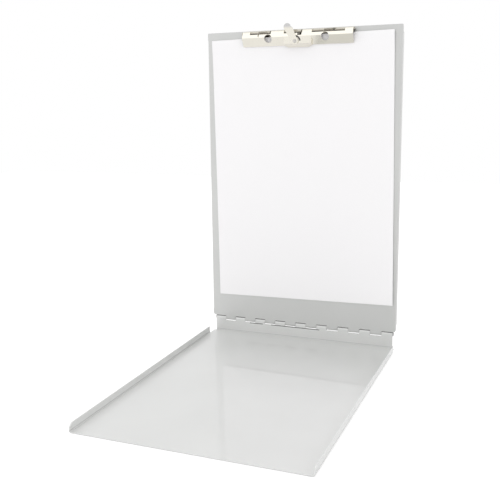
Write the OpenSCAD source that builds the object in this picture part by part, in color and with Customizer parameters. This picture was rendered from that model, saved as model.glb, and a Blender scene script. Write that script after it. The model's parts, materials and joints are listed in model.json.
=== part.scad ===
// Folding sheet-metal clipboard with a flanged tray, for A4 sheets.
// The origin is the centre of the tray's underside. +Z is up, +Y runs back to the hinge,
// and +X is to the right of someone facing the upright panel.

/* [Tray] */
// Width of the tray over its side flanges
tray_w = 225.3; // [215:0.1:240]
// Depth of the tray from its open front edge to the back of the rear wall
tray_d = 302.5; // [240:0.5:320]
// Thickness of the aluminium sheet
sheet_t = 1.0; // [0.8:0.1:1.2]
// Height of the side flanges above the table
flange_h = 8.3; // [6:0.1:10]
// Distance from the rear wall to the rear end of each flange
flange_stop = 13.6; // [8:0.1:30]
// Radius of the flange's front top corner
flange_corner_r = 6; // [2:0.5:7]
// Outer radius of the tray's bends
bend_r = 2.0; // [1.4:0.1:3]
// Width of the rear wall, which is also the length of the hinge
wall_w = 217.3; // [180:0.1:222]
// Width of the relief slot at each end of the rear wall
relief_w = 1.4; // [0.8:0.1:2]
// Length of that relief slot
relief_l = 4.5; // [3:0.5:8]

/* [Hinge] */
// Height of the hinge pin's axis above the table
axis_z = 16.7; // [14:0.1:24]
// Radius of the hinge pin
pin_r = 1.45; // [1.2:0.05:1.6]
// Radial clearance of the pin in the tray's knuckles, which grip it
pin_fit = 0.02; // [0.01:0.01:0.05]
// Radial clearance of the panel's knuckles on the pin
knuckle_fit = 0.05; // [0.03:0.01:0.1]
// Number of knuckles along the hinge, an odd number
knuckles = 17; // [9:2:23]
// Gap between neighbouring knuckles
knuckle_gap = 0.3; // [0.2:0.05:0.6]
// Gap between a knuckle and the edge cut out for it
cutout_gap = 0.45; // [0.2:0.05:0.6]
// Angle by which the panel leans back from upright
panel_lean = 1.69; // [0:0.01:5]

/* [Panel] */
// By how much the writing panel is narrower than the tray
panel_short = 0.8; // [0:0.1:2]
// Length of the writing panel above the hinge barrel
panel_l = 333.7; // [330:0.1:350]
// Radius of the panel's bottom corners
panel_bottom_r = 3; // [1:0.5:6]
// Radius of the panel's top corners
panel_top_r = 1.5; // [0.5:0.5:6]
// Depth of the stiffening returns behind the panel's long edges
return_d = 3.5; // [2:0.1:6]
// Distance from the panel's ends to the ends of those returns
return_stop = 8; // [4:0.5:20]
// Radius of the bend into each return
return_r = 1.0; // [0.5:0.1:1.5]

/* [Clip jaw] */
// Sideways place of the clip's middle on the panel
clip_x = -3.2; // [-4:0.1:4]
// Length of the clip's jaw
jaw_w = 127; // [120:0.5:140]
// Thickness of the jaw's steel
jaw_t = 0.9; // [0.7:0.05:1.0]
// Radius of the rod that the jaw turns on
rod_r = 1.2; // [1:0.05:1.4]
// Radial clearance of the jaw's knuckles on the rod
rod_fit = 0.05; // [0.03:0.01:0.08]
// Height of the rod's axis above the panel's face
rod_n = 3.2; // [3.1:0.05:3.8]
// Distance of the rod's axis below the panel's top edge
rod_drop = 3.2; // [3:0.05:4]
// Height of the jaw's upper bend above the panel's face, at mid thickness
bend_n = 7.4; // [7:0.1:8.5]
// Distance of that bend below the panel's top edge
bend_drop = 8.0; // [7.5:0.1:9]
// Height of the jaw's lip above the panel's face, at mid thickness
lip_n = 2.4; // [2.35:0.05:3]
// Distance of the lip below the panel's top edge
lip_drop = 17.0; // [16:0.1:19]
// Radius of the two round holes over the rivets
hole_r = 4.4; // [3.6:0.1:4.6]
// Distance of each hole from the clip's middle
hole_x = 32.75; // [26:0.25:38]
// Distance of the holes and rivets below the panel's top edge
hole_drop = 9.3; // [9:0.1:11]
// Depth below the top edge to which the jaw is cut away between its knuckles
slot_drop = 4.5; // [4.4:0.1:5]

/* [Raised middle of the jaw] */
// Place of the middle of the raised part
stage_x = -1.4; // [-2:0.1:1.5]
// Width of the raised part
stage_w = 31.5; // [30:0.5:33]
// Distance of the raised part's lower bend below the panel's top edge
stage_drop = 15.6; // [15.2:0.1:16.5]
// Distance of the tongue's lip below the panel's top edge
tongue_drop = 19.2; // [19:0.1:22]
// Width of the tongue's straight lip
tongue_w = 21; // [16:0.5:24]

/* [Clip base] */
// Thickness of the base plate
base_t = 0.8; // [0.6:0.05:0.9]
// Distance of the base plate's upper edge below the panel's top edge
base_top = 0.4; // [0.3:0.1:0.8]
// Distance of the base plate's lower edge below the panel's top edge
base_drop = 6.5; // [6.4:0.1:6.8]
// Distance of the lower end of each rivet lug below the panel's top edge
lug_drop = 13.8; // [13.6:0.1:15]
// Half of the width of a rivet lug
lug_r = 4.5; // [4:0.1:5]
// Thickness of the ears that hold the rod
ear_t = 1.0; // [0.8:0.1:1.2]
// Radius of the ears round the rod
ear_r = 2.3; // [2:0.1:2.4]
// Radial clearance of the rod in the ears
ear_fit = 0.02; // [0.01:0.01:0.05]
// Place of the middle ear
ear_x = 2.4; // [2:0.1:3]
// Distance between ears
ear_pitch = 36.4; // [36:0.1:37]
// Length of the cam ramp beside the middle ear
ramp_w = 3.3; // [3:0.1:3.4]
// Height of the ramp's low end above the panel's face
ramp_low = 8.05; // [7:0.05:8.1]
// Height of the ramp's high end above the panel's face
ramp_high = 8.3; // [8.1:0.05:8.35]
// Distance of the ramp's middle below the panel's top edge
ramp_drop = 5.3; // [5.2:0.05:5.4]

/* [Rivets] */
// Radius of the shank of the rivets that hold the clip
rivet_r = 1.6; // [1.4:0.1:1.9]
// Radius of their heads
rivet_head_r = 3.2; // [2.8:0.1:3.5]
// Height of their heads
rivet_head_h = 0.6; // [0.4:0.05:0.65]
// Height of their set ends behind the panel
rivet_tail_h = 0.8; // [0.6:0.1:1.2]
// Radius of their set ends
rivet_tail_r = 2.6; // [2.2:0.1:3]
// Radial clearance of a shank in its holes
rivet_fit = 0.03; // [0.02:0.01:0.1]

/* [Lever] */
// Place of the lever's pivot across the clip
pivot_x = -4.2; // [-5:0.1:-4]
// Distance of the lever's pivot below the panel's top edge
pivot_drop = 13.3; // [13.2:0.1:13.4]
// Angle of the lever to the left of upright at rest
lever_lean = 26.5; // [25:0.5:28]
// Thickness of the lever
lever_t = 1.0; // [0.8:0.1:1.2]
// Radius of the lever's hub
hub_r = 4.0; // [3.6:0.1:4.4]
// Width of the lever above its hub
finger_w = 7.4; // [6:0.1:7.6]
// Distance from the pivot to the outer lobe of the thumb end
lobe_reach = 17.5; // [16:0.1:18]
// Radius of the outer lobe
lobe_r = 4.0; // [3.5:0.1:4.2]
// Radius of the inner lobe
inner_lobe_r = 3.4; // [3:0.1:3.8]
// Thickness of the washer under the lever
washer_t = 0.3; // [0.2:0.05:0.5]
// Radius of that washer
washer_r = 3.4; // [3:0.1:3.8]
// Radius of the lever's rivet
lever_rivet_r = 1.5; // [1.3:0.1:1.8]
// Radius of the head and of the set end of the lever's rivet
lever_head_r = 2.2; // [2:0.1:2.3]
// Height of the head of the lever's rivet
lever_head_h = 0.7; // [0.5:0.1:0.9]
// Mean radius of the curved slot that the lever's tab runs in
slot_r = 5.6; // [5.5:0.1:5.7]
// Width of the curved slot
slot_w = 1.8; // [1.6:0.1:2]
// Angle of the slot's lower end, from the horizontal
slot_from = 2; // [0:1:5]
// Angle of the slot's upper end
slot_to = 120; // [118:1:122]
// Angle over which the tab reaches along the slot
tab_span = 16; // [12:1:18]
// Angle of the tab's upper end
tab_to = 116; // [112:1:117]
// Clearance of the tab in the slot on each side
tab_fit = 0.3; // [0.25:0.05:0.35]
// Depth of the tab below the lever
tab_depth = 3.2; // [2.6:0.1:3.4]

/* [Clip springs] */
// Diameter of the spring wire
wire_d = 0.7; // [0.6:0.05:0.8]
// Distance along the rod from one turn to the next
coil_pitch = 1.35; // [1.25:0.05:1.4]
// Number of turns in each spring
coil_turns = 6.95; // [6:0.01:7.1]
// Distance from the left ear's middle to the left spring's outer end
left_coil_reach = 13.6; // [13:0.1:16]
// Distance from the right ear's middle to the right spring's outer end
right_coil_reach = 10.6; // [10.5:0.1:10.8]
// Gap between the rod and the coil
coil_gap = 0.25; // [0.2:0.05:0.4]

/* [Sheet of paper] */
// Width of the sheet
paper_w = 210; // [190:1:216]
// Height of the sheet
paper_h = 297; // [260:1:300]
// Thickness of the sheet
paper_t = 0.3; // [0.2:0.05:0.4]
// Sideways place of the sheet's upper edge
paper_x = -1.5; // [-3:0.1:3]
// Distance of the sheet's upper edge below the panel's top edge
paper_drop = 6.95; // [6.9:0.05:7.2]
// Angle by which the sheet hangs out of square
paper_turn = 0.94; // [0:0.01:1.2]

/* [Hidden] */
$fn = 48;

cut = 1;
panel_w = tray_w - panel_short;
barrel_r = pin_r + knuckle_fit + sheet_t;
wall_back_y = tray_d / 2;
face_y = wall_back_y - sheet_t;
axis_y = face_y + barrel_r;
barrel_top = axis_z + barrel_r;
barrel_bottom = axis_z - barrel_r;
knuckle_pitch = wall_w / knuckles;
pin_head_r = barrel_r - 0.4;
pin_head_h = 0.6;
pin_play = 0.05;
wedge_sides = 6;
panel_top = barrel_top + panel_l;
panel_bottom = barrel_top + cutout_gap;
return_low = panel_bottom + return_stop;
return_high = panel_top - return_stop;

jaw_left = clip_x - jaw_w / 2;
jaw_right = clip_x + jaw_w / 2;
curl_r = rod_r + rod_fit + jaw_t / 2;
curl_step = 0.06;
cheek_inset = 0.2;
rod_point = [rod_n, rod_drop];
bend_point = [bend_n, bend_drop];
lip_point = [lip_n, lip_drop];
stage_point = [bend_n, stage_drop];
tongue_point = [lip_n, tongue_drop];
curl_point = tangent_point(rod_point, curl_r + curl_step, bend_point);
stage_left = stage_x - stage_w / 2;
stage_right = stage_x + stage_w / 2;
stage_top = bend_n + jaw_t / 2;
ears = [ear_x - ear_pitch, ear_x, ear_x + ear_pitch];
side_play = 0.5;
end_knuckle_w = 9;
middle_knuckle_w = 11;
// Places along the rod where the jaw's steel is curled round it, each from and to
jaw_knuckles = [
    [jaw_left, jaw_left + end_knuckle_w],
    [ears[0] + ear_t / 2 + side_play, stage_left - side_play],
    [ears[1] + ear_t / 2 + side_play, ears[1] + ear_t / 2 + side_play + middle_knuckle_w],
    [jaw_right - end_knuckle_w, jaw_right]];
rod_head_r = rod_r + 0.6;
rod_head_h = 0.8;
rod_play = 0.2;
ramp_right = ear_x - ear_t / 2;
ramp_left = ramp_right - ramp_w;
ramp_play = 0.5;
// Room below the ramp, which the jaw's edge moves into as the jaw opens
ramp_room = 1.1;
jaw_cut_n = bend_n + 3;
lever_low = stage_top + washer_t;
lever_high = lever_low + lever_t;
rivet_play = 0.05;
lever_fit = 0.06;
lever_dir = 90 + lever_lean;
lobe_angle = 3;
inner_reach = 13.4;
lobe_blend = 12;
inner_angle = -3.5;
coil_r = rod_r + coil_gap + wire_d / 2;
leg_angle = -54;
leg_rise = 2.9;
leg_run = 3.4;
tail_run = 1.5;
coil_sides = 6;
coil_rings = 8;
// The sheet's section from its top to its foot: height over the panel, and distance
// below the sheet's upper edge
paper_path = [[1.75, 0], [1.75, 6.5], [1.4, 10.5], [0.95, 23], [0.75, 50], [0.75, 150],
    [1.2, 230], [2.0, paper_h]];

// Point where a line from the point p touches a circle round c, on its outer side
function tangent_point(c, r, p) =
    let (v = p - c, a = atan2(v[1], v[0]) - acos(r / norm(v)))
    c + r * [cos(a), sin(a)];

// Place of a point given by its height over the panel and its drop from the top edge
function at(p) = [-p[0], -p[1]];

// Turns the children with the panel, which leans back about the hinge pin
module on_panel() {
    translate([0, axis_y, axis_z]) rotate([-panel_lean, 0, 0])
        translate([0, -axis_y, -axis_z]) children();
}

// A section in height and drop, drawn along the panel's width from x0 to x1
module along(x0, x1) {
    translate([x0, face_y, panel_top]) rotate([90, 0, 90])
        linear_extrude(x1 - x0) children();
}

// An outline seen from the front, given depth from height n0 to height n1
module facing(n0, n1) {
    translate([0, face_y - n0, panel_top]) rotate([90, 0, 0])
        linear_extrude(n1 - n0) children();
}

// Points of one side of a strip of metal whose middle runs through the given points
function strip_side(points, d) =
    [for (i = [0 : len(points) - 1])
        let (before = unit(points[max(i, 1)] - points[max(i, 1) - 1]),
            after = unit(points[min(i + 1, len(points) - 1)] - points[min(i, len(points) - 2)]),
            n0 = [-before[1], before[0]], n1 = [-after[1], after[0]])
        points[i] + d * (n0 + n1) / (1 + n0 * n1)];

// A folded strip of metal of thickness t through the points
module folded(points, t) {
    left = strip_side(points, t / 2);
    right = strip_side(points, -t / 2);
    polygon(concat([for (p = left) at(p)],
        [for (i = [len(right) - 1 : -1 : 0]) at(right[i])]));
}

// A rectangle whose lower corners are round
module round_bottom(w, h, r) {
    translate([-w / 2, r]) square([w, h - r]);
    translate([-w / 2 + r, 0]) square([w - 2 * r, h / 2]);
    for (s = [-1, 1]) translate([s * (w / 2 - r), r]) circle(r);
}

// A wedge that opens from angle a0 to angle a1
module wedge(r, a0, a1) {
    polygon(concat([[0, 0]],
        [for (i = [0 : wedge_sides]) r * [cos(a0 + (a1 - a0) * i / wedge_sides),
            sin(a0 + (a1 - a0) * i / wedge_sides)]]));
}

// Part of a ring of mean radius r and width w, between two angles
module arc_band(r, w, a0, a1) {
    intersection() {
        difference() {
            circle(r + w / 2);
            circle(r - w / 2);
        }
        wedge(2 * r, a0, a1);
    }
}

// Where each end of a hinge knuckle lies, for every second knuckle from the given one
function knuckle_ends(first) =
    [for (i = [first : 2 : knuckles - 1])
        [-wall_w / 2 + i * knuckle_pitch + (i == 0 ? 0 : knuckle_gap / 2),
            -wall_w / 2 + (i + 1) * knuckle_pitch - (i == knuckles - 1 ? 0 : knuckle_gap / 2)]];

// Rolled hinge knuckles along the pin
module barrel_knuckles(first, bore_r) {
    for (k = knuckle_ends(first))
        translate([k[0], axis_y, axis_z]) rotate([0, 90, 0]) difference() {
            cylinder(r = barrel_r, h = k[1] - k[0]);
            translate([0, 0, -cut]) cylinder(r = bore_r, h = k[1] - k[0] + 2 * cut);
        }
}

// Sheet between a plate's edge and its knuckles, ending level with the pin
module knuckle_web(first, z0, z1, bore_r) {
    for (k = knuckle_ends(first)) difference() {
        translate([k[0], face_y, z0]) cube([k[1] - k[0], sheet_t, z1 - z0]);
        translate([k[0] - cut, axis_y, axis_z]) rotate([0, 90, 0])
            cylinder(r = bore_r, h = k[1] - k[0] + 2 * cut);
    }
}

module tray_flanges() {
    flange_back = face_y - flange_stop;
    difference() {
        translate([0, face_y - bend_r + sheet_t, 0]) rotate([90, 0, 0])
            linear_extrude(tray_d - bend_r) difference() {
                round_bottom(tray_w, flange_h, bend_r);
                translate([0, sheet_t])
                    round_bottom(tray_w - 2 * sheet_t, flange_h, bend_r - sheet_t);
            }
        translate([-tray_w, flange_back, sheet_t]) cube([2 * tray_w, tray_d, flange_h]);
        for (s = [-1, 1]) scale([s, 1, 1]) {
            translate([tray_w / 2 - bend_r, flange_back, -cut])
                cube([2 * bend_r, tray_d, flange_h]);
            translate([wall_w / 2, face_y - relief_l, -cut])
                cube([relief_w, tray_d, flange_h]);
        }
        for (s = [-1, 1]) translate([s * (tray_w - sheet_t) / 2, -tray_d / 2, flange_h])
            rotate([0, 90, 0]) difference() {
                cube([2 * flange_corner_r, 2 * flange_corner_r, 2 * sheet_t], center = true);
                translate([flange_corner_r, flange_corner_r, 0])
                    cylinder(r = flange_corner_r, h = 4 * sheet_t, center = true);
            }
    }
}

module rear_wall() {
    wall_top = barrel_bottom - cutout_gap;
    translate([-wall_w / 2, wall_back_y, 0]) rotate([90, 0, 90]) linear_extrude(wall_w) {
        intersection() {
            translate([-bend_r, bend_r]) difference() {
                circle(bend_r);
                circle(bend_r - sheet_t);
            }
            translate([-bend_r, 0]) square(bend_r);
        }
        translate([-sheet_t, bend_r]) square([sheet_t, wall_top - bend_r]);
    }
}

module tray() {
    bore_r = pin_r + pin_fit;
    color("silver") {
        tray_flanges();
        rear_wall();
        knuckle_web(0, barrel_bottom - cutout_gap - sheet_t / 2, axis_z, bore_r);
        barrel_knuckles(0, bore_r);
    }
}

// Outline of the panel's plate, seen from the front
module panel_outline() {
    half = panel_w / 2;
    low = panel_bottom - panel_top;
    translate([-half, low + panel_bottom_r])
        square([panel_w, -low - panel_bottom_r - panel_top_r]);
    translate([-half + panel_bottom_r, low])
        square([panel_w - 2 * panel_bottom_r, -low]);
    for (s = [-1, 1]) {
        translate([s * (half - panel_bottom_r), low + panel_bottom_r])
            circle(panel_bottom_r);
        translate([s * (half - panel_top_r), -panel_top_r]) circle(panel_top_r);
        translate([s * (half - panel_top_r - panel_bottom_r / 2), -panel_top_r])
            translate([-panel_bottom_r / 2, 0]) square([panel_bottom_r, panel_top_r]);
    }
}

// Return behind one long edge of the panel
module edge_return() {
    translate([panel_w / 2 - sheet_t, face_y + sheet_t / 2, return_low])
        cube([sheet_t, return_d + sheet_t / 2, return_high - return_low]);
}

// What is taken off the panel's edge to round the bend into its return
module edge_round() {
    span = return_high - return_low;
    translate([panel_w / 2 - return_r, face_y, return_low]) difference() {
        translate([0, -cut, 0]) cube([return_r + cut, return_r + cut, span]);
        translate([0, return_r, -cut]) cylinder(r = return_r, h = span + 2 * cut);
    }
}

module writing_panel() {
    bore_r = pin_r + knuckle_fit;
    color("gainsboro") on_panel() difference() {
        union() {
            facing(-sheet_t, 0) panel_outline();
            for (s = [-1, 1]) scale([s, 1, 1]) edge_return();
            knuckle_web(1, axis_z, panel_bottom + sheet_t / 2, bore_r);
            barrel_knuckles(1, bore_r);
        }
        for (s = [-1, 1]) scale([s, 1, 1]) edge_round();
        facing(-sheet_t - cut, cut) rivet_places() circle(rivet_r + rivet_fit);
    }
}

module hinge_pin() {
    color("lightslategray") translate([0, axis_y, axis_z]) rotate([0, 90, 0]) {
        cylinder(r = pin_r, h = wall_w + 2 * pin_play, center = true);
        for (s = [-1, 1]) translate([0, 0, s * (wall_w / 2 + pin_play + pin_head_h / 2)])
            cylinder(r = pin_head_r, h = pin_head_h, center = true);
    }
}

// The children at both rivets' places, seen from the front
module rivet_places() {
    for (s = [-1, 1]) translate([clip_x + s * hole_x, -hole_drop]) children();
}

module clip_base() {
    color("lightsteelblue") on_panel() {
        facing(0, base_t) difference() {
            union() {
                translate([jaw_left + side_play, -base_drop])
                    square([jaw_w - 2 * side_play, base_drop - base_top]);
                rivet_places() {
                    translate([0, hole_drop - lug_drop + lug_r]) circle(lug_r);
                    translate([-lug_r, hole_drop - lug_drop + lug_r])
                        square([2 * lug_r, lug_drop - lug_r - base_drop + cut]);
                }
            }
            rivet_places() circle(rivet_r + rivet_fit);
        }
        for (x = ears) along(x - ear_t / 2, x + ear_t / 2) difference() {
            union() {
                translate(at(rod_point)) circle(ear_r);
                translate(at([rod_n, rod_drop + ear_r]))
                    square([rod_n - base_t / 2, 2 * ear_r]);
            }
            translate(at(rod_point)) circle(rod_r + ear_fit);
        }
        cam_ramp();
    }
}

// Upright tab that the lever rides on when it is swung, higher towards the middle ear
module cam_ramp() {
    half = base_t / 2;
    translate([0, face_y, panel_top - ramp_drop - half]) linear_extrude(base_t)
        polygon([[ramp_left, -base_t / 2], [ramp_left, -ramp_low],
            [ramp_right, -ramp_high], [ramp_right, -base_t / 2]]);
}

module jaw_sheet() {
    gaps = [for (i = [1 : len(jaw_knuckles) - 1])
        [jaw_knuckles[i - 1][1], jaw_knuckles[i][0]]];
    difference() {
        along(jaw_left, jaw_right) folded([curl_point, bend_point, lip_point], jaw_t);
        for (g = gaps) facing(-cut, jaw_cut_n)
            translate([g[0], -slot_drop]) square([g[1] - g[0], 2 * slot_drop]);
        facing(-cut, jaw_cut_n) translate([stage_left + jaw_t, -lip_drop - cut])
            square([stage_w - 2 * jaw_t, lip_drop + cut - bend_drop - jaw_t / 2]);
    }
    for (k = jaw_knuckles) along(k[0], k[1]) difference() {
        translate(at(rod_point)) circle(curl_r + jaw_t / 2);
        translate(at(rod_point)) circle(curl_r - jaw_t / 2);
    }
    raised_middle();
}

// The raised part: a strip bent down into the tongue, and a cheek at each side
module raised_middle() {
    path = [bend_point, stage_point, tongue_point];
    along(stage_left + cheek_inset, stage_right - cheek_inset) folded(path, jaw_t);
    for (x = [stage_left, stage_right - jaw_t]) along(x, x + jaw_t)
        polygon(concat([for (p = strip_side(path, cheek_inset - jaw_t / 2)) at(p)],
            [at(lip_point)]));
}

module clip_jaw() {
    lip_edge = tongue_drop + jaw_t;
    stage_edge = stage_w / 2 + cut;
    color("wheat") on_panel() difference() {
        jaw_sheet();
        facing(-cut, jaw_cut_n) rivet_places() circle(hole_r);
        facing(-cut, jaw_cut_n) translate([pivot_x, -pivot_drop]) {
            circle(lever_rivet_r + rivet_fit);
            arc_band(slot_r, slot_w, slot_from, slot_to);
        }
        facing(-cut, jaw_cut_n)
            translate([ramp_left - ramp_play, -ramp_drop - ramp_room - base_t / 2])
                square([ramp_w + ramp_play + ear_t, ramp_room + base_t + slot_drop / 2]);
        facing(-cut, bend_n) for (s = [-1, 1])
            polygon([[stage_x + s * tongue_w / 2, -lip_edge],
                [stage_x + s * stage_edge, -lip_edge],
                [stage_x + s * stage_edge, -lip_drop - jaw_t / 2]]);
    }
}

module clip_rod() {
    color("dimgray") on_panel() translate([clip_x, face_y - rod_n, panel_top - rod_drop])
        rotate([0, 90, 0]) {
            cylinder(r = rod_r, h = jaw_w + 2 * rod_play, center = true);
            for (s = [-1, 1]) translate([0, 0, s * (jaw_w / 2 + rod_play + rod_head_h / 2)])
                cylinder(r = rod_head_r, h = rod_head_h, center = true);
        }
}

// Points of the wire's centre line: a leg on the jaw, the coil, then a tail at the base
function spring_path(x0) =
    let (n = round(coil_turns * coil_rings),
        start = rod_point + coil_r * [cos(leg_angle), sin(leg_angle)],
        lift = [-sin(leg_angle), cos(leg_angle)],
        bend = start + leg_rise * lift,
        lie = (bend_point - curl_point) / norm(bend_point - curl_point),
        last = leg_angle - 360 * n / coil_rings,
        stop = rod_point + coil_r * [cos(last), sin(last)],
        away = [sin(last), -cos(last)],
        x1 = x0 + coil_pitch * n / coil_rings)
    concat([wire_point(x0, bend + leg_run * lie), wire_point(x0, bend)],
        [for (i = [0 : n]) wire_point(x0 + coil_pitch * i / coil_rings,
            rod_point + coil_r * [cos(leg_angle - 360 * i / coil_rings),
                sin(leg_angle - 360 * i / coil_rings)])],
        [wire_point(x1, stop + tail_run * away)]);

function wire_point(x, p) = [x, face_y - p[0], panel_top - p[1]];

function unit(v) = v / norm(v);

// Direction of the path at a point, level between its two neighbours
function heading(path, i) =
    unit(path[min(i + 1, len(path) - 1)] - path[max(i - 1, 0)]);

// A wire of round section swept through the points as one closed skin
module swept_wire(path, r, sides) {
    rings = [for (i = [0 : len(path) - 1])
        let (d = heading(path, i), u = unit([1, 0, 0] - d * d[0]), v = cross(d, u))
        [for (j = [0 : sides - 1])
            path[i] + r * (cos(360 * j / sides) * u + sin(360 * j / sides) * v)]];
    points = [for (ring = rings) for (p = ring) p];
    last = len(points) - sides;
    faces = concat(
        [for (i = [0 : len(path) - 2]) for (j = [0 : sides - 1])
            let (a = i * sides + j, b = i * sides + (j + 1) % sides)
            [a, b, a + sides]],
        [for (i = [0 : len(path) - 2]) for (j = [0 : sides - 1])
            let (b = i * sides + (j + 1) % sides, a = i * sides + j)
            [b, b + sides, a + sides]],
        [[for (j = [sides - 1 : -1 : 0]) j]],
        [[for (j = [0 : sides - 1]) last + j]]);
    polyhedron(points, [for (f = faces) [for (k = [len(f) - 1 : -1 : 0]) f[k]]]);
}

module clip_spring(x0) {
    echo(least_gap_between_turns = coil_pitch - wire_d);
    color("khaki") on_panel() swept_wire(spring_path(x0), wire_d / 2, coil_sides);
}

module clip_spring_left() {
    clip_spring(ears[0] - left_coil_reach);
}

module clip_spring_right() {
    clip_spring(ears[2] - right_coil_reach);
}

// Outline of the lever round its pivot, upright before it is leaned over
module lever_outline() {
    outer = lobe_reach * [sin(-lobe_angle), cos(lobe_angle)];
    inner = inner_reach * [-sin(inner_angle), cos(inner_angle)];
    circle(hub_r);
    translate(outer) circle(lobe_r);
    translate(inner) circle(inner_lobe_r);
    polygon([[-hub_r, 0], [hub_r, 0], [finger_w / 2, hub_r],
        inner + inner_lobe_r * [cos(lobe_blend), -sin(lobe_blend)], inner, outer,
        outer - lobe_r * [cos(lobe_blend), sin(lobe_blend)], [-finger_w / 2, hub_r]]);
}

module clip_lever() {
    color("beige") on_panel() {
        facing(lever_low, lever_high) translate([pivot_x, -pivot_drop]) difference() {
            union() {
                rotate(lever_lean) lever_outline();
                arc_band(slot_r, slot_w - 2 * tab_fit, tab_to - tab_span, tab_to);
            }
            circle(lever_rivet_r + lever_fit);
        }
        facing(lever_low - tab_depth, lever_high) translate([pivot_x, -pivot_drop])
            arc_band(slot_r, slot_w - 2 * tab_fit, tab_to - tab_span, tab_to);
    }
}

module lever_washer() {
    color("gray") on_panel() facing(stage_top, lever_low - rivet_play)
        translate([pivot_x, -pivot_drop]) difference() {
            circle(washer_r);
            circle(lever_rivet_r + lever_fit);
        }
}

module lever_rivet() {
    stage_under = bend_n - jaw_t / 2;
    color("darkgray") on_panel() {
        facing(stage_under - rivet_tail_h / 2, lever_high + rivet_play)
            translate([pivot_x, -pivot_drop]) circle(lever_rivet_r);
        facing(stage_under - rivet_tail_h, stage_under)
            translate([pivot_x, -pivot_drop]) circle(lever_head_r);
        facing(lever_high + rivet_play, lever_high + rivet_play + lever_head_h)
            translate([pivot_x, -pivot_drop]) circle(lever_head_r);
    }
}

module clip_rivets() {
    color("whitesmoke") on_panel() {
        facing(-sheet_t - rivet_tail_h / 2, base_t + rivet_head_h / 2)
            rivet_places() circle(rivet_r);
        facing(base_t, base_t + rivet_head_h) rivet_places() circle(rivet_head_r);
        facing(-sheet_t - rivet_tail_h, -sheet_t) rivet_places() circle(rivet_tail_r);
    }
}

module paper_sheet() {
    top = panel_top - paper_drop;
    color("white") on_panel() translate([paper_x, 0, top]) rotate([0, -paper_turn, 0])
        translate([-paper_w / 2, face_y, 0]) rotate([90, 0, 90]) linear_extrude(paper_w)
            polygon(concat([for (p = paper_path) at(p - [paper_t / 2, 0])],
                [for (i = [len(paper_path) - 1 : -1 : 0])
                    at(paper_path[i] + [paper_t / 2, 0])]));
}

tray();
writing_panel();
hinge_pin();
clip_base();
clip_jaw();
clip_rod();
clip_spring_left();
clip_spring_right();
clip_lever();
lever_washer();
lever_rivet();
clip_rivets();
paper_sheet();
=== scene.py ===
"""Looks of a folding sheet-metal clipboard: tray, hinged writing panel, lever clip and one sheet.

Everything is in metres, in the part's own frame: the origin is the centre of the tray's
underside, +Z is up, +Y runs back to the hinge and +X is to the right of the upright panel.
"""

import json
import logging
import math
from dataclasses import dataclass, field, replace
from enum import Enum
from typing import Callable, Sequence

import bmesh
import bpy
from mathutils import Matrix, Vector

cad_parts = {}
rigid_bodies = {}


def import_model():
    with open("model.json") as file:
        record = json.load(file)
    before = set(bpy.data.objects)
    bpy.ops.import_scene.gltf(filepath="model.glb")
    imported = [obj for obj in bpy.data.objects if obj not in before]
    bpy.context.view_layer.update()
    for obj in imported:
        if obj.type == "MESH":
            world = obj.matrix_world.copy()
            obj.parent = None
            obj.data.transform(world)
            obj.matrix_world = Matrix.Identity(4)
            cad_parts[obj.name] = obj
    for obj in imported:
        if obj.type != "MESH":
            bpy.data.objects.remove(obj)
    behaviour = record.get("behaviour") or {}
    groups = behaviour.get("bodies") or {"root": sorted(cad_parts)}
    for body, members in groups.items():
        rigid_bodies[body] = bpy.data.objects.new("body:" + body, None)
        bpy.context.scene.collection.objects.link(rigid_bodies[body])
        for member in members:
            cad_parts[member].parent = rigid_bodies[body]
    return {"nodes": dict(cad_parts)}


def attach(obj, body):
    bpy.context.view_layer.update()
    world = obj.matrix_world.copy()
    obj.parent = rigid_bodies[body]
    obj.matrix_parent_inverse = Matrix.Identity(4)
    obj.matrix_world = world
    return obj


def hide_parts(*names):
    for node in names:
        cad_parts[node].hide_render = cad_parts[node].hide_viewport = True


LOG = logging.getLogger("clipboard")
MM = 0.001
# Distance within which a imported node's points are joined, and the largest turn between its
# facets that counts as flat
WELD = 0.002 * MM
FLAT_TURN = math.radians(0.4)
# Values between which the noise patterns mostly lie
NOISE_SPAN = (0.3, 0.7)
# Places of the clip base's three ears across the panel, in millimetres
EAR_PLACES = (-34.0, 2.4, 38.8)

Point = tuple[float, float, float]
Pair = tuple[float, float]


class Body(Enum):
    """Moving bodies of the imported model."""

    TRAY = "tray"
    PANEL = "panel"
    JAW = "jaw"
    LEVER = "lever"


class Grain(Enum):
    """Direction in which a finish is drawn out."""

    NONE = (1.0, 1.0, 1.0)
    ACROSS = (0.04, 1.0, 1.0)


def new_material(name: str) -> tuple[bpy.types.Material, bpy.types.ShaderNodeTree]:
    """Make an empty node material.

    Args:
        name: Name of the material.

    Returns:
        The material and its node tree.
    """
    material = bpy.data.materials.new(name)
    material.use_nodes = True
    tree = material.node_tree
    tree.nodes.clear()
    return material, tree


def principled(
    name: str,
) -> tuple[bpy.types.Material, bpy.types.ShaderNodeTree, bpy.types.Node]:
    """Make a material whose surface is one Principled shader.

    Args:
        name: Name of the material.

    Returns:
        The material, its node tree and the shader.
    """
    material, tree = new_material(name)
    output = tree.nodes.new("ShaderNodeOutputMaterial")
    shader = tree.nodes.new("ShaderNodeBsdfPrincipled")
    tree.links.new(shader.outputs["BSDF"], output.inputs["Surface"])
    return material, tree, shader


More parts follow.
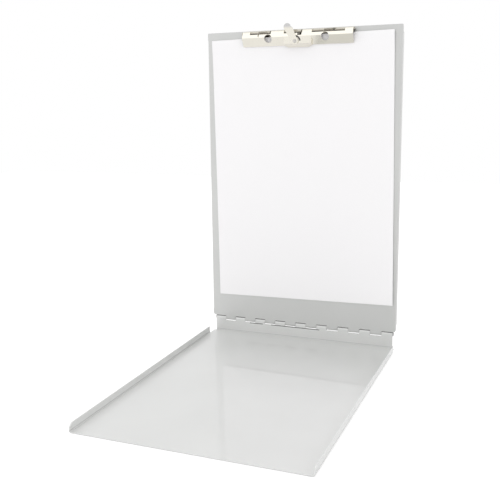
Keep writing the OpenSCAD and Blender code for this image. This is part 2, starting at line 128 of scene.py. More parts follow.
def bumped(
    tree: bpy.types.ShaderNodeTree,
    shader: bpy.types.Node,
    height: bpy.types.NodeSocket,
    strength: float,
    depth: float,
) -> None:
    """Let a fine height pattern tilt a shader's normal.

    Args:
        tree: Tree that gets the node.
        shader: The shader.
        height: Pattern from 0 to 1.
        strength: Share of the full effect.
        depth: Height of the pattern, in metres.
    """
    bump = tree.nodes.new("ShaderNodeBump")
    bump.inputs["Strength"].default_value = strength
    bump.inputs["Distance"].default_value = depth
    tree.links.new(height, bump.inputs["Height"])
    tree.links.new(bump.outputs["Normal"], shader.inputs["Normal"])


def computed(
    tree: bpy.types.ShaderNodeTree, operation: str, *values: bpy.types.NodeSocket | float
) -> bpy.types.NodeSocket:
    """Work out a value with one Math node.

    Args:
        tree: Tree that gets the node.
        operation: Name of the node's operation.
        *values: Sockets or plain numbers that go in.

    Returns:
        The result's socket.
    """
    node = tree.nodes.new("ShaderNodeMath")
    node.operation = operation
    for value, target in zip(values, node.inputs):
        if isinstance(value, float):
            target.default_value = value
        else:
            tree.links.new(value, target)
    return node.outputs[0]


def spread(
    tree: bpy.types.ShaderNodeTree,
    source: bpy.types.NodeSocket,
    start: Pair,
    end: Pair,
    eased: bool = False,
) -> bpy.types.NodeSocket:
    """Map one range of values onto another, and hold the result at its ends.

    Args:
        tree: Tree that gets the node.
        source: Value that is mapped.
        start: The two values that give the two results.
        end: The two results.
        eased: Whether the change starts and stops gently.

    Returns:
        The result's socket.
    """
    node = tree.nodes.new("ShaderNodeMapRange")
    if eased:
        node.interpolation_type = "SMOOTHSTEP"
    node.inputs["From Min"].default_value, node.inputs["From Max"].default_value = start
    node.inputs["To Min"].default_value, node.inputs["To Max"].default_value = end
    tree.links.new(source, node.inputs["Value"])
    return node.outputs["Result"]


def blended(
    tree: bpy.types.ShaderNodeTree,
    factor: bpy.types.NodeSocket,
    first: bpy.types.NodeSocket | Point,
    second: Point,
) -> bpy.types.NodeSocket:
    """Blend two colours.

    Args:
        tree: Tree that gets the node.
        factor: 0 for the first colour and 1 for the second.
        first: First colour, or the socket that gives it.
        second: Second colour.

    Returns:
        The colour's socket.
    """
    mix = tree.nodes.new("ShaderNodeMix")
    mix.data_type = "RGBA"
    tree.links.new(factor, mix.inputs["Factor"])
    if isinstance(first, tuple):
        mix.inputs["A"].default_value = (*first, 1.0)
    else:
        tree.links.new(first, mix.inputs["A"])
    mix.inputs["B"].default_value = (*second, 1.0)
    return mix.outputs["Result"]


def seen_apart(
    tree: bpy.types.ShaderNodeTree, others: bpy.types.NodeSocket, camera: bpy.types.NodeSocket
) -> bpy.types.NodeSocket:
    """Show one shader to camera rays and another to all other rays.

    Args:
        tree: Tree that gets the nodes.
        others: Shader for light and mirrored rays.
        camera: Shader for camera rays.

    Returns:
        The joint shader's socket.
    """
    path = tree.nodes.new("ShaderNodeLightPath")
    mix = tree.nodes.new("ShaderNodeMixShader")
    tree.links.new(path.outputs["Is Camera Ray"], mix.inputs["Fac"])
    tree.links.new(others, mix.inputs[1])
    tree.links.new(camera, mix.inputs[2])
    return mix.outputs["Shader"]


def object_noise(
    tree: bpy.types.ShaderNodeTree, scale: float, detail: float, stretch: Point = (1.0, 1.0, 1.0)
) -> bpy.types.NodeSocket:
    """Noise on the piece's own coordinates.

    Args:
        tree: Tree that gets the nodes.
        scale: Features per metre before the stretch.
        detail: Octaves of finer noise.
        stretch: Factors on the three coordinates.

    Returns:
        The noise's value socket.
    """
    place = tree.nodes.new("ShaderNodeTexCoord")
    mapping = tree.nodes.new("ShaderNodeMapping")
    mapping.inputs["Scale"].default_value = stretch
    noise = tree.nodes.new("ShaderNodeTexNoise")
    noise.inputs["Scale"].default_value = scale
    noise.inputs["Detail"].default_value = detail
    tree.links.new(place.outputs["Object"], mapping.inputs["Vector"])
    tree.links.new(mapping.outputs["Vector"], noise.inputs["Vector"])
    return noise.outputs["Fac"]


@dataclass(frozen=True)
class Band:
    """A box of the part's frame in which a surface has another colour, given by its centre,
    its half size, its strength, and the width over which the colour fades outside it."""

    centre: Point
    half: Point
    strength: float = 1.0
    fade: float = 0.02 * MM

    def inside(
        self, tree: bpy.types.ShaderNodeTree, split: bpy.types.Node
    ) -> bpy.types.NodeSocket:
        """Tell whether a shaded point lies in the band.

        Args:
            tree: Tree that gets the nodes.
            split: Node that gives the point's coordinates.

        Returns:
            A socket that is the band's strength in it and 0 elsewhere.
        """
        result: bpy.types.NodeSocket | float = self.strength
        for axis, middle, half in zip("XYZ", self.centre, self.half):
            offset = computed(tree, "SUBTRACT", split.outputs[axis], middle)
            reach = computed(tree, "ABSOLUTE", offset)
            near = spread(tree, reach, (half + self.fade, half), (0.0, 1.0), eased=True)
            result = computed(tree, "MULTIPLY", result, near)
        return result


def in_bands(tree: bpy.types.ShaderNodeTree, bands: Sequence[Band]) -> bpy.types.NodeSocket:
    """Tell how far a shaded point lies in any of some bands.

    Args:
        tree: Tree that gets the nodes.
        bands: The bands.

    Returns:
        A socket with the largest of their strengths there.
    """
    place = tree.nodes.new("ShaderNodeTexCoord")
    split = tree.nodes.new("ShaderNodeSeparateXYZ")
    tree.links.new(place.outputs["Object"], split.inputs["Vector"])
    mask, *others = [band.inside(tree, split) for band in bands]
    for other in others:
        mask = computed(tree, "MAXIMUM", mask, other)
    return mask


@dataclass(frozen=True)
class MetalFinish:
    """A metal surface with cloudy tone, fine grain and uneven gloss."""

    name: str
    dark: Point
    light: Point
    gloss: Pair
    grain: Grain = Grain.NONE
    grain_scale: float = 900.0
    cloud_scale: float = 14.0
    relief: float = 0.02
    lacquer: float = 0.0
    metallic: float = 1.0
    # Colour painted in the bands; on the tray, the clip's base and the rod the bands paint shade
    band_colour: Point = (0.12, 0.12, 0.115)
    bands: tuple[Band, ...] = ()
    cloud_detail: float = 3.0
    grain_detail: float = 2.0
    relief_depth: float = 0.2 * MM
    lacquer_gloss: float = 0.04

    def material(self) -> bpy.types.Material:
        """Build the finish's node material.

        Returns:
            The material.
        """
        material, tree, shader = principled(self.name)
        shader.inputs["Metallic"].default_value = self.metallic
        shader.inputs["Coat Weight"].default_value = self.lacquer
        shader.inputs["Coat Roughness"].default_value = self.lacquer_gloss
        clouds = object_noise(tree, self.cloud_scale, self.cloud_detail)
        cloud_mix = spread(tree, clouds, NOISE_SPAN, (0.0, 1.0))
        colour = blended(tree, cloud_mix, self.dark, self.light)
        if self.bands:
            colour = blended(tree, in_bands(tree, self.bands), colour, self.band_colour)
        tree.links.new(colour, shader.inputs["Base Color"])
        roughness = spread(tree, clouds, NOISE_SPAN, self.gloss)
        tree.links.new(roughness, shader.inputs["Roughness"])
        grain = object_noise(tree, self.grain_scale, self.grain_detail, self.grain.value)
        bumped(tree, shader, grain, self.relief, self.relief_depth)
        return material


@dataclass(frozen=True)
class PaperFinish:
    """Smooth white copy paper with a faint fibre."""

    name: str
    shade: Point
    bright: Point
    fibre_scale: float = 1400.0
    fibre_detail: float = 4.0
    roughness: float = 0.75
    specular: float = 0.25
    relief: float = 0.05
    relief_depth: float = 0.05 * MM

    def material(self) -> bpy.types.Material:
        """Build the paper's node material.

        Returns:
            The material.
        """
        material, tree, shader = principled(self.name)
        shader.inputs["Roughness"].default_value = self.roughness
        shader.inputs["Specular IOR Level"].default_value = self.specular
        fibre = object_noise(tree, self.fibre_scale, self.fibre_detail)
        fibre_mix = spread(tree, fibre, NOISE_SPAN, (0.0, 1.0))
        colour = blended(tree, fibre_mix, self.shade, self.bright)
        tree.links.new(colour, shader.inputs["Base Color"])
        bumped(tree, shader, fibre, self.relief, self.relief_depth)
        return material


# Painted shade on the tray: dark lines over its knuckles, under the notches between them,
# and along the folds at the wall's and the left flange's foot
KNUCKLE_TOP_SHADE = Band((0.0, 0.1528, 0.01890), (0.12, 0.0030, 0.00032))
NOTCH_EDGE_SHADE = (
    Band((-0.0560, 0.1508, 0.01345), (0.0085, 0.0030, 0.00042)),
    Band((-0.0070, 0.1508, 0.01345), (0.0300, 0.0030, 0.00042)),
)
FOLD_LINE_SHADE = (
    Band((0.0, 0.1490, 0.0018), (0.12, 0.0014, 0.00078), 0.20),
    Band((-0.1108, 0.0, 0.0018), (0.0010, 0.16, 0.00078), 0.25),
)
TRAY_SHEET = MetalFinish(
    "satin_tray_aluminium",
    (0.745, 0.75, 0.74),
    (0.775, 0.78, 0.77),
    (0.40, 0.46),
    Grain.ACROSS,
    lacquer=0.9,
    metallic=0.6,
    bands=(KNUCKLE_TOP_SHADE, *NOTCH_EDGE_SHADE, *FOLD_LINE_SHADE),
)
# Painted shade: the panel is the tray's aluminium made darker, for the dimmer room it mirrors
PANEL_SHEET_PAINTED_DARKER = MetalFinish(
    "satin_panel_aluminium_painted_darker",
    (0.645, 0.65, 0.64),
    (0.675, 0.68, 0.67),
    (0.42, 0.48),
    Grain.ACROSS,
    lacquer=0.15,
    metallic=0.85,
)
PIN_STEEL = MetalFinish(
    "drawn_pin_wire", (0.34, 0.34, 0.34), (0.46, 0.46, 0.46), (0.3, 0.42), Grain.ACROSS
)
NICKEL_PLATE = MetalFinish(
    "nickel_plate",
    (0.80, 0.77, 0.69),
    (0.83, 0.80, 0.72),
    (0.07, 0.12),
    Grain.NONE,
    1500.0,
    relief=0.005,
)
# Greyer end of the lever: its plate is painted grey towards the thumb end
THUMB_END = Band((0.0, 0.155, 0.3620), (0.05, 0.02, 0.0055), 0.85, 3.5 * MM)
GREY_ENDED_PLATE = replace(
    NICKEL_PLATE,
    name="grey_ended_nickel_plate",
    gloss=(0.10, 0.18),
    band_colour=(0.55, 0.55, 0.56),
    bands=(THUMB_END,),
)
# Painted shade on the clip's base: dark where it runs in under the jaw, and on the ears' edges
SHADED_FOOT = Band((0.0, 0.155, 0.3435), (0.07, 0.010, 0.0042))
EAR_EDGE_SHADE = tuple(
    Band((x * MM, 0.1545, 0.3495), (0.62 * MM, 0.0045, 0.0050), 0.8)
    for x in EAR_PLACES
)
BASE_PLATE = MetalFinish(
    "nickel_plated_base",
    (0.66, 0.63, 0.56),
    (0.74, 0.71, 0.64),
    (0.16, 0.26),
    band_colour=(0.05, 0.045, 0.035),
    bands=(SHADED_FOOT, *EAR_EDGE_SHADE),
)
# Painted shade on the rod: its dark underside in the jaw's slots, and a tone darker than plating
ROD_UNDERSIDE_SHADE = Band((0.0, 0.1565, 0.3478), (0.07, 0.005, 0.0016), 0.95, 0.3 * MM)
ROD_STEEL_SHADED = MetalFinish(
    "plated_rod_steel_painted_shade",
    (0.40, 0.37, 0.31),
    (0.52, 0.49, 0.42),
    (0.14, 0.24),
    band_colour=(0.05, 0.045, 0.035),
    bands=(ROD_UNDERSIDE_SHADE,),
)
SPRING_WIRE = MetalFinish(
    "bright_spring_wire", (0.42, 0.39, 0.33), (0.56, 0.53, 0.46), (0.2, 0.3), Grain.NONE, 2500.0
)
RIVET_STEEL = MetalFinish(
    "rivet_steel", (0.60, 0.58, 0.55), (0.70, 0.68, 0.64), (0.2, 0.3), Grain.NONE, 1800.0
)
COPY_PAPER = PaperFinish("copy_paper", (0.955, 0.945, 0.955), (0.975, 0.965, 0.975))


def put_in_scene(name: str, mesh: bpy.types.Mesh) -> bpy.types.Object:
    """Make an object of a mesh and link it.

    Args:
        name: Name of the object.
        mesh: Its mesh, in place.

    Returns:
        The object.
    """
    piece = bpy.data.objects.new(name, mesh)
    bpy.context.scene.collection.objects.link(piece)
    return piece


def shade_smooth(mesh: bpy.types.Mesh) -> None:
    """Shade every face of a mesh smooth."""
    mesh.polygons.foreach_set("use_smooth", [True] * len(mesh.polygons))


def level_normals(piece: bpy.types.Object, by_strength: bool) -> None:
    """Let large faces rule the shading, so that flat sheet mirrors as a flat sheet does.

    Args:
        piece: Piece that gets the modifier.
        by_strength: Whether the faces of a rounding count less than those beside it.
    """
    level = piece.modifiers.new("level_faces", "WEIGHTED_NORMAL")
    level.mode = "FACE_AREA"
    level.weight = 100
    level.use_face_influence = by_strength


def softened(node: str, name: str, width: float, turn: float = 28.0) -> bpy.types.Object:
    """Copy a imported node, clean its facets and round its edges a little.

    Args:
        node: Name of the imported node.
        name: Name of the new piece.
        width: Width of the rounding, in metres.
        turn: Smallest angle between faces that is rounded, in degrees.

    Returns:
        The new piece, with modifiers for its rounding.
    """
    mesh = FRAME["nodes"][node].data.copy()
    mesh.name = name
    mesh.materials.clear()
    build = bmesh.new()
    build.from_mesh(mesh)
    bmesh.ops.remove_doubles(build, verts=build.verts, dist=WELD)
    bmesh.ops.dissolve_limit(build, angle_limit=FLAT_TURN, verts=build.verts, edges=build.edges)
    build.to_mesh(mesh)
    build.free()
    piece = put_in_scene(name, mesh)
    bevel = piece.modifiers.new("rounding", "BEVEL")
    bevel.limit_method = "ANGLE"
    bevel.angle_limit = math.radians(turn)
    bevel.width = width
    bevel.segments = 2
    bevel.use_clamp_overlap = True
    bevel.face_strength_mode = "FSTR_ALL"
    level_normals(piece, by_strength=True)
    shade_smooth(mesh)
    return piece


def dressed(
    piece: bpy.types.Object, body: Body, material: bpy.types.Material, slot: str, *nodes: str
) -> bpy.types.Object:
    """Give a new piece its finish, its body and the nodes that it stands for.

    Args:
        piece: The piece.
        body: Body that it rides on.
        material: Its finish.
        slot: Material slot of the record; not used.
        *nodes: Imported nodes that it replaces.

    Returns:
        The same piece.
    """
    piece.data.materials.clear()
    piece.data.materials.append(material)
    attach(piece, body.value)
    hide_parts(*nodes)
    LOG.info("%s: %d faces on %s", piece.name, len(piece.data.polygons), body.value)
    return piece


def repaint(node: str, material: bpy.types.Material) -> None:
    """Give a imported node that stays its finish.

    Args:
        node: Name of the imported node.
        material: Its finish.
    """
    piece = FRAME["nodes"][node]
    if not piece.material_slots:
        piece.data.materials.append(material)
    for material_slot in piece.material_slots:
        material_slot.material = material
    LOG.info("%s: repainted with %s", node, material.name)


@dataclass(frozen=True)
class PanelPlane:
    """The writing panel's plane at rest, which leans back about the hinge pin."""

    axis_y: float = 152.75 * MM
    axis_z: float = 16.7 * MM
    face_y: float = 150.25 * MM
    top_z: float = 352.9 * MM
    lean: float = math.radians(1.69)

    def place(self, x: float, height: float, drop: float) -> Vector:
        """Point given by its height over the panel and its drop from the top edge.

        Args:
            x: Place across the panel.
            height: Height over the panel's face.
            drop: Distance below the panel's top edge.

        Returns:
            The point in the part's frame.
        """
        y = self.face_y - height - self.axis_y
        z = self.top_z - drop - self.axis_z
        c, s = math.cos(-self.lean), math.sin(-self.lean)
        return Vector((x, self.axis_y + y * c - z * s, self.axis_z + y * s + z * c))

    def outward(self) -> Vector:
        """Direction away from the panel's face."""
        return Vector((0.0, -math.cos(self.lean), math.sin(self.lean)))


class Grower:
    """Base of the geometry-node makers: builds a tree, runs it and keeps the plain mesh."""

    def __init__(self, name: str) -> None:
        """Start an empty tree with a geometry input.

        Args:
            name: Name of the tree.
        """
        self.tree = bpy.data.node_groups.new(name, "GeometryNodeTree")
        self.tree.interface.new_socket(
            "Geometry", in_out="INPUT", socket_type="NodeSocketGeometry"
        )
        self.ids: dict[str, str] = {}
        self.entry = self.tree.nodes.new("NodeGroupInput")
        self.exit = self.tree.nodes.new("NodeGroupOutput")

    def size(self, name: str, kind: str = "NodeSocketFloat") -> None:
        """Add a named input.

        Args:
            name: Name of the input.
            kind: Type of its socket.
        """
        made = self.tree.interface.new_socket(name, in_out="INPUT", socket_type=kind)
        self.ids[name] = made.identifier

    def add(self, kind: str, **settings: object) -> bpy.types.Node:
        """Add a node.

        Args:
            kind: Type of the node.
            **settings: Properties set on it.

        Returns:
            The node.
        """
        made = self.tree.nodes.new(kind)
        for key, value in settings.items():
            setattr(made, key, value)
        return made

    def wire(self, source: bpy.types.NodeSocket, target: bpy.types.NodeSocket) -> None:
        """Link two sockets."""
        self.tree.links.new(source, target)

    def close(self, last: bpy.types.NodeSocket, material: bpy.types.Material) -> None:
        """End the tree with real geometry and a material.

        Args:
            last: Geometry that leaves the tree.
            material: Finish that it gets.
        """
        self.tree.interface.new_socket(
            "Geometry", in_out="OUTPUT", socket_type="NodeSocketGeometry"
        )
        real = self.add("GeometryNodeRealizeInstances")
        paint = self.add("GeometryNodeSetMaterial")
        paint.inputs["Material"].default_value = material
        self.wire(last, real.inputs["Geometry"])
        self.wire(real.outputs["Geometry"], paint.inputs["Geometry"])
        self.wire(paint.outputs["Geometry"], self.exit.inputs[0])

    def grow(
        self, name: str, base: bpy.types.Mesh | bpy.types.Curve, values: dict[str, object]
    ) -> bpy.types.Object:
        """Run the tree on a base and keep its result as a plain mesh.

        Args:
            name: Name of the finished piece.
            base: Mesh or curve that enters the tree.
            values: Sizes by the names of their inputs.

        Returns:
            The finished piece, without a modifier.
        """
        seed = bpy.data.objects.new(name + ".seed", base)
        bpy.context.scene.collection.objects.link(seed)
        modifier = seed.modifiers.new("grow", "NODES")
        modifier.node_group = self.tree
        for key, value in values.items():
            modifier[self.ids[key]] = value
        graph = bpy.context.evaluated_depsgraph_get()
        mesh = bpy.data.meshes.new_from_object(seed.evaluated_get(graph), depsgraph=graph)
        bpy.data.objects.remove(seed)
        mesh.name = name
        return put_in_scene(name, mesh)


class WireGrower(Grower):
    """Sweeps a round wire along the curve that enters it."""

    def __init__(self, material: bpy.types.Material) -> None:
        """Build the tree.

        Args:
            material: Finish of the wire.
        """
        super().__init__("swept_wire")
        self.size("Wire Radius")
        self.size("Sides", "NodeSocketInt")
        ring = self.add("GeometryNodeCurvePrimitiveCircle")
        sweep = self.add("GeometryNodeCurveToMesh")
        sweep.inputs["Fill Caps"].default_value = True
        smooth = self.add("GeometryNodeSetShadeSmooth")
        self.wire(self.entry.outputs["Wire Radius"], ring.inputs["Radius"])
        self.wire(self.entry.outputs["Sides"], ring.inputs["Resolution"])
        self.wire(self.entry.outputs[0], sweep.inputs["Curve"])
        self.wire(ring.outputs["Curve"], sweep.inputs["Profile Curve"])
        self.wire(sweep.outputs["Mesh"], smooth.inputs["Geometry"])
        self.close(smooth.outputs["Geometry"], material)


class StudGrower(Grower):
    """Stands one turned stud on every point that enters it."""

    def __init__(self, stud: bpy.types.Object, material: bpy.types.Material) -> None:
        """Build the tree.

        Args:
            stud: The turned stud, along its own Z axis.
            material: Finish of the studs.
        """
        super().__init__("studs_" + stud.name)
        self.size("Facing", "NodeSocketRotation")
        shape = self.add("GeometryNodeObjectInfo")
        shape.inputs["Object"].default_value = stud
        stand = self.add("GeometryNodeInstanceOnPoints")
        self.wire(self.entry.outputs[0], stand.inputs["Points"])
        self.wire(shape.outputs["Geometry"], stand.inputs["Instance"])
        self.wire(self.entry.outputs["Facing"], stand.inputs["Rotation"])
        self.close(stand.outputs["Instances"], material)


def turned(name: str, profile: Sequence[Pair], sides: int = 40) -> bpy.types.Object:
    """Turn a profile round the Z axis into a closed solid.

    Args:
        name: Name of the solid.
        profile: Radius and height of each point, from axis to axis.
        sides: Number of sides.

    Returns:
        The solid, at the origin.
    """
    build = bmesh.new()
    rings: list[list[bmesh.types.BMVert]] = []
    for radius, height in profile:
        angles = [math.tau * i / sides for i in range(1 if radius == 0 else sides)]
        spots = [(radius * math.cos(a), radius * math.sin(a), height) for a in angles]
        rings.append([build.verts.new(spot) for spot in spots])
    for low, high in zip(rings, rings[1:]):
        for i in range(sides):
            j = (i + 1) % sides
            around = ((low, i), (low, j), (high, j), (high, i))
            corners = list(dict.fromkeys(ring[k % len(ring)] for ring, k in around))
            if len(corners) > 2:
                build.faces.new(corners)
    bmesh.ops.recalc_face_normals(build, faces=build.faces)
    mesh = bpy.data.meshes.new(name)
    build.to_mesh(mesh)
    build.free()
    shade_smooth(mesh)
    return put_in_scene(name, mesh)


@dataclass
class Tray:
    """The flat tray and the hinge pin."""

    edge: float = 0.07 * MM

    def build(self) -> None:
        """Make the tray's piece and paint the pin."""
        sheet = TRAY_SHEET.material()
        dressed(softened("tray", "tray_body", self.edge), Body.TRAY, sheet, "tray_sheet", "tray")
        repaint("hinge_pin", PIN_STEEL.material())


@dataclass
class WritingPanel:
    """The upright panel."""

    edge: float = 0.07 * MM

    def build(self) -> None:
        """Make the panel's piece."""
        sheet = PANEL_SHEET_PAINTED_DARKER.material()
        dressed(
            softened("writing_panel", "panel_body", self.edge),
            Body.PANEL,
            sheet,
            "panel_sheet",
            "writing_panel",
        )


@dataclass
class ClipSpring:
    """One wound spring on the clip's rod."""

    name: str
    node: str
    left_end: float
    plane: PanelPlane = field(default_factory=PanelPlane)
    wire_r: float = 0.35 * MM
    pitch: float = 1.35 * MM
    turns: float = 7.0
    sides: int = 10
    coil_r: float = 1.8 * MM
    rod: Pair = (3.2 * MM, 3.2 * MM)
    lie: Pair = (0.421, 0.907)
    leg_angle: float = math.radians(-54)
    leg_rise: float = 2.9 * MM
    leg_run: float = 3.4 * MM
    tail_run: float = 1.5 * MM
    steps: int = 28
    leg_steps: int = 5
    rise_steps: int = 6
    tail_steps: int = 3

    def path(self) -> list[Vector]:
        """Points of the wire's centre line.

        Returns:
            The leg on the jaw, its rise to the coil, the coil, and the tail.
        """

        def on_coil(angle: float) -> Pair:
            c, s = math.cos(angle), math.sin(angle)
            return (self.rod[0] + self.coil_r * c, self.rod[1] + self.coil_r * s)

        def moved(spot: Pair, way: Pair, run: float) -> Pair:
            return (spot[0] + run * way[0], spot[1] + run * way[1])

        count = round(self.turns * self.steps)
        c, s = math.cos(self.leg_angle), math.sin(self.leg_angle)
        start = on_coil(self.leg_angle)
        bend = moved(start, (-s, c), self.leg_rise)
        rise = (start[0] - bend[0], start[1] - bend[1])
        points: list[Vector] = []
        for k in range(self.leg_steps, 0, -1):
            spot = moved(bend, self.lie, self.leg_run * k / self.leg_steps)
            points.append(self.plane.place(self.left_end, *spot))
        for k in range(self.rise_steps):
            spot = moved(bend, rise, k / self.rise_steps)
            points.append(self.plane.place(self.left_end, *spot))
        for i in range(count + 1):
            x = self.left_end + self.pitch * i / self.steps
            spot = on_coil(self.leg_angle - math.tau * i / self.steps)
            points.append(self.plane.place(x, *spot))
        x = self.left_end + self.pitch * count / self.steps
        last = self.leg_angle - math.tau * count / self.steps
        way = (math.sin(last), -math.cos(last))
        for k in range(1, self.tail_steps + 1):
            spot = moved(on_coil(last), way, self.tail_run * k / self.tail_steps)
            points.append(self.plane.place(x, *spot))
        return points

    def build(self, grower: WireGrower, material: bpy.types.Material) -> None:
        """Sweep the wire along its path.

        Args:
            grower: Tree that sweeps it.
            material: Finish of the wire.
        """
        curve = bpy.data.curves.new(self.name + ".path", "CURVE")
        curve.dimensions = "3D"
        points = self.path()
        line = curve.splines.new("POLY")
        line.points.add(len(points) - 1)
        for target, point in zip(line.points, points):
            target.co = (*point, 1.0)
        values = {"Wire Radius": self.wire_r, "Sides": self.sides}
        piece = grower.grow(self.name, curve, values)
        dressed(piece, Body.JAW, material, "spring_wire", self.node)


# Radius and height of the points on a rivet's outline, in millimetres, from head to tail
CLIP_RIVET: tuple[Pair, ...] = (
    (0, 1.40), (0.8, 1.39), (1.7, 1.31), (2.5, 1.15), (3.0, 0.96), (3.18, 0.84), (3.18, 0.8),
    (1.6, 0.8), (1.6, -1.0),
    (2.6, -1.0), (2.6, -1.2), (2.45, -1.5), (1.9, -1.72), (1.1, -1.8), (0, -1.8),
)
LEVER_RIVET: tuple[Pair, ...] = (
    (0, 9.9), (0.8, 9.88), (1.4, 9.79), (1.9, 9.6), (2.15, 9.36), (2.18, 9.2),
    (1.5, 9.2), (1.5, 6.95),
    (2.2, 6.95), (2.2, 6.6), (1.9, 6.3), (1.3, 6.17), (0, 6.15),
)


@dataclass
class LeverClip:
    """The clip at the panel's top: base, jaw, rod, springs, lever and rivets."""

    plane: PanelPlane = field(default_factory=PanelPlane)
    clip_x: float = -3.2 * MM
    rivet_x: float = 32.75 * MM
    rivet_drop: float = 9.3 * MM
    pivot_x: float = -4.2 * MM
    pivot_drop: float = 13.3 * MM
    spring_ends: Pair = (-47.6 * MM, 28.2 * MM)

    def studs(
        self,
        name: str,
        spots: Sequence[Vector],
        profile: Sequence[Pair],
        body: Body,
        node: str,
    ) -> None:
        """Stand turned rivets on the panel.

        Args:
            name: Name of the piece.
            spots: Where their profiles' zero height lies.
            profile: Radius and height of each point.
            body: Body that they ride on.
            node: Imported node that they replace.
        """
        material = RIVET_STEEL.material()
        stud = turned(name + ".stud", [(r * MM, h * MM) for r, h in profile])
        mesh = bpy.data.meshes.new(name + ".spots")
        mesh.from_pydata([tuple(p) for p in spots], [], [])
        grower = StudGrower(stud, material)
        facing = self.plane.outward().to_track_quat("Z", "Y").to_euler()
        piece = grower.grow(name, mesh, {"Facing": facing})
        bpy.data.objects.remove(stud)
        dressed(piece, body, material, "rivet_steel", node)

    def rivets(self) -> None:
        """Make the two rivets that hold the clip and the one that holds the lever."""
        spots = [
            self.plane.place(self.clip_x + side * self.rivet_x, 0.0, self.rivet_drop)
            for side in (-1, 1)
        ]
        self.studs("clip_rivet_pair", spots, CLIP_RIVET, Body.PANEL, "clip_rivets")
        pivot = self.plane.place(self.pivot_x, 0.0, self.pivot_drop)
        self.studs("lever_pivot", [pivot], LEVER_RIVET, Body.JAW, "lever_rivet")

    def build(self) -> None:
        """Make all pieces of the clip."""
        plates = (
            ("clip_jaw", "jaw_plate", 0.3, Body.JAW, NICKEL_PLATE, "clip_jaw_plate"),
            ("clip_base", "base_plate", 0.12, Body.PANEL, BASE_PLATE, "clip_plate"),
            ("clip_lever", "lever_plate", 0.25, Body.LEVER, GREY_ENDED_PLATE, "lever_plate"),
        )
        for node, name, edge, body, finish, slot in plates:
            dressed(softened(node, name, edge * MM), body, finish.material(), slot, node)
        rod = ROD_STEEL_SHADED.material()
        repaint("clip_rod", rod)
        repaint("lever_washer", rod)
        wire = SPRING_WIRE.material()
        grower = WireGrower(wire)
        for side, end in zip(("left", "right"), self.spring_ends):
            ClipSpring(f"{side}_spring", f"clip_spring_{side}", end).build(grower, wire)
        self.rivets()


@dataclass
class PaperSheet:
    """The blank sheet in the clip, with a gentle bow."""

    plane: PanelPlane = field(default_factory=PanelPlane)
    width: float = 210 * MM
    height: float = 297 * MM
    thickness: float = 0.14 * MM
    across: float = -1.5 * MM
    drop: float = 6.95 * MM
    turn: float = math.radians(0.94)
    rows: int = 100
    columns: int = 70
    bow: tuple[Pair, ...] = (
        (1.75, 0), (1.75, 6.5), (1.4, 10.5), (0.95, 23), (0.75, 50), (0.75, 150), (1.2, 230),
        (2.0, 297),
    )

    def lift(self, along: float) -> float:
        """Height of the sheet's middle over the panel, eased between the bow's points.

        Args:
            along: Distance below the sheet's upper edge.

        Returns:
            The height.
        """
        spot = along / MM
        for (h0, d0), (h1, d1) in zip(self.bow, self.bow[1:]):
            if spot <= d1:
                t = (spot - d0) / (d1 - d0)
                t = t * t * (3 - 2 * t)
                return (h0 + (h1 - h0) * t) * MM
        return self.bow[-1][0] * MM

    def build(self) -> None:
        """Make the sheet as a grid with two faces and a rim."""
        build = bmesh.new()
        grid: list[list[bmesh.types.BMVert]] = []
        c, s = math.cos(self.turn), math.sin(self.turn)
        for r in range(self.rows + 1):
            down = self.height * r / self.rows
            line = []
            for k in range(self.columns + 1):
                x = self.width * (k / self.columns - 0.5)
                place = self.plane.place(
                    self.across + x * c + down * s, self.lift(down), self.drop - x * s + down * c
                )
                line.append(build.verts.new(place))
            grid.append(line)
        for upper, lower in zip(grid, grid[1:]):
            for k in range(self.columns):
                build.faces.new((upper[k], lower[k], lower[k + 1], upper[k + 1]))
        mesh = bpy.data.meshes.new("blank_sheet")
        build.to_mesh(mesh)
        build.free()
        shade_smooth(mesh)
        piece = put_in_scene("blank_sheet", mesh)
        wall = piece.modifiers.new("thickness", "SOLIDIFY")
        wall.thickness = self.thickness
        wall.offset = 0.0
        level_normals(piece, by_strength=False)
        dressed(piece, Body.PANEL, COPY_PAPER.material(), "paper", "paper_sheet")


@dataclass(frozen=True)
class DimSide:
    """A round patch of the white room that is dimmer than the rest, by its direction, the
    angles from it in degrees at which it is darkest and at which it ends, and its level."""

    toward: Point
    core: float
    edge: float
    level: float


@dataclass(frozen=True)
class Lamp:
    """A soft square lamp, by its place, its aim, the length of its side and its power."""

    name: str
    place: Point
    aim: Point
    size: float
    power: float

    def hang(self) -> None:
        """Put the lamp in the scene."""
        data = bpy.data.lights.new(self.name, "AREA")
        data.size = self.size
        data.energy = self.power
        lamp = bpy.data.objects.new(self.name, data)
        lamp.location = self.place
        way = Vector(self.aim) - Vector(self.place)
        lamp.rotation_euler = way.to_track_quat("-Z", "Y").to_euler()
        bpy.context.scene.collection.objects.link(lamp)


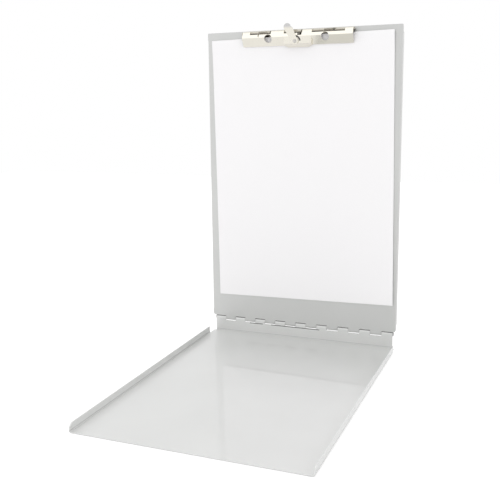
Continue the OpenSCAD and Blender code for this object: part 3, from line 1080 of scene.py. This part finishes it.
@dataclass
class Studio:
    """White floor and room, soft light and the camera."""

    camera_place: Point = (0.27253, -0.65508, 0.29440)
    yaw: float = 0.3937
    pitch: float = 0.2154
    roll: float = -0.0229
    focal_px: float = 755.1
    frame_px: float = 500.0
    sensor: float = 36.0
    clip_range: Pair = (0.01, 50.0)
    floor_colour: Point = (0.93, 0.93, 0.93)
    floor_glow: float = 0.25
    floor_half: float = 1.6
    floor_gap: float = 0.2 * MM
    room_rise: Pair = (-0.1, 0.5)
    room_levels: Pair = (1.05245, 1.1067)
    dim_sides: tuple[DimSide, ...] = (
        DimSide((0.13, -0.988, 0.08), 10, 26, 0.70),
        DimSide((-0.27, -0.60, 0.753), 12, 38, 0.64),
        DimSide((-0.40, 0.82, 0.41), 22, 55, 0.82),
    )
    lamps: tuple[Lamp, ...] = (
        Lamp("overhead_lamp", (-0.6, -0.5, 2.6), (0.0, 0.0, 0.1), 3.2, 8.0),
        Lamp("strip_lamp", (-0.75, -1.03, 2.2), (0.0, 0.15, 0.35), 0.7, 0.6),
        Lamp("left_lamp", (-2.2, -1.4, 1.2), (0.0, 0.1, 0.2), 2.0, 1.6),
    )

    def camera(self) -> None:
        """Set the camera at the photograph's viewpoint."""
        cy, sy = math.cos(self.yaw), math.sin(self.yaw)
        cp, sp = math.cos(self.pitch), math.sin(self.pitch)
        right = Vector((cy, sy, 0))
        ahead = Vector((-sy * cp, cy * cp, -sp))
        up = right.cross(ahead)
        c, s = math.cos(self.roll), math.sin(self.roll)
        x_axis = c * right + s * up
        y_axis = -s * right + c * up
        data = bpy.data.cameras.new("viewpoint")
        data.sensor_width = self.sensor
        data.lens = self.sensor * self.focal_px / self.frame_px
        data.clip_start, data.clip_end = self.clip_range
        camera = bpy.data.objects.new("viewpoint", data)
        turn = Matrix((x_axis, y_axis, -ahead)).transposed().to_4x4()
        camera.matrix_world = Matrix.Translation(self.camera_place) @ turn
        bpy.context.scene.collection.objects.link(camera)
        bpy.context.scene.camera = camera

    def floor(self) -> None:
        """Lay a plain white floor that keeps a pale shadow."""
        material, tree = new_material("white_floor")
        output = tree.nodes.new("ShaderNodeOutputMaterial")
        plain = tree.nodes.new("ShaderNodeBsdfDiffuse")
        plain.inputs["Color"].default_value = (*self.floor_colour, 1.0)
        glow = tree.nodes.new("ShaderNodeEmission")
        glow.inputs["Strength"].default_value = self.floor_glow
        lit = tree.nodes.new("ShaderNodeAddShader")
        tree.links.new(plain.outputs["BSDF"], lit.inputs[0])
        tree.links.new(glow.outputs["Emission"], lit.inputs[1])
        seen = seen_apart(tree, plain.outputs["BSDF"], lit.outputs["Shader"])
        tree.links.new(seen, output.inputs["Surface"])
        mesh = bpy.data.meshes.new("studio_floor")
        half = self.floor_half
        corners = [(-half, -half, 0), (half, -half, 0), (half, half, 0), (-half, half, 0)]
        mesh.from_pydata(corners, [], [(0, 1, 2, 3)])
        mesh.materials.append(material)
        floor = put_in_scene("studio_floor", mesh)
        floor.location.z = -self.floor_gap

    def world(self) -> None:
        """Surround the object with a white room that the metal sees with dimmer sides."""
        world = bpy.data.worlds.new("white_room")
        world.use_nodes = True
        bpy.context.scene.world = world
        tree = world.node_tree
        tree.nodes.clear()
        output = tree.nodes.new("ShaderNodeOutputWorld")
        backdrop = tree.nodes.new("ShaderNodeBackground")
        backdrop.inputs["Color"].default_value = (1.0, 1.0, 1.0, 1.0)
        backdrop.inputs["Strength"].default_value = 1.0
        room = tree.nodes.new("ShaderNodeBackground")
        room.inputs["Color"].default_value = (1.0, 1.0, 1.0, 1.0)
        way = tree.nodes.new("ShaderNodeTexCoord").outputs["Generated"]
        split = tree.nodes.new("ShaderNodeSeparateXYZ")
        tree.links.new(way, split.inputs["Vector"])
        level = spread(tree, split.outputs["Z"], self.room_rise, self.room_levels)
        for side in self.dim_sides:
            aim = tree.nodes.new("ShaderNodeVectorMath")
            aim.operation = "DOT_PRODUCT"
            aim.inputs[1].default_value = side.toward
            tree.links.new(way, aim.inputs[0])
            angles = (math.cos(math.radians(side.edge)), math.cos(math.radians(side.core)))
            dim = spread(tree, aim.outputs["Value"], angles, (1.0, side.level), eased=True)
            level = computed(tree, "MULTIPLY", level, dim)
        tree.links.new(level, room.inputs["Strength"])
        seen = seen_apart(tree, room.outputs["Background"], backdrop.outputs["Background"])
        tree.links.new(seen, output.inputs["Surface"])

    def build(self) -> None:
        """Make the studio."""
        bpy.context.scene.view_settings.view_transform = "Standard"
        self.camera()
        self.floor()
        self.world()
        for lamp in self.lamps:
            lamp.hang()


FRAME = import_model()


def main() -> None:
    """Build the studio and the object."""
    logging.basicConfig(level=logging.INFO, format="%(name)s %(message)s")
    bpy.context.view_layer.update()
    builders: list[Callable[[], None]] = [
        Studio().build,
        Tray().build,
        WritingPanel().build,
        LeverClip().build,
        PaperSheet().build,
    ]
    for build in builders:
        build()


if __name__ == "__main__":
    main()
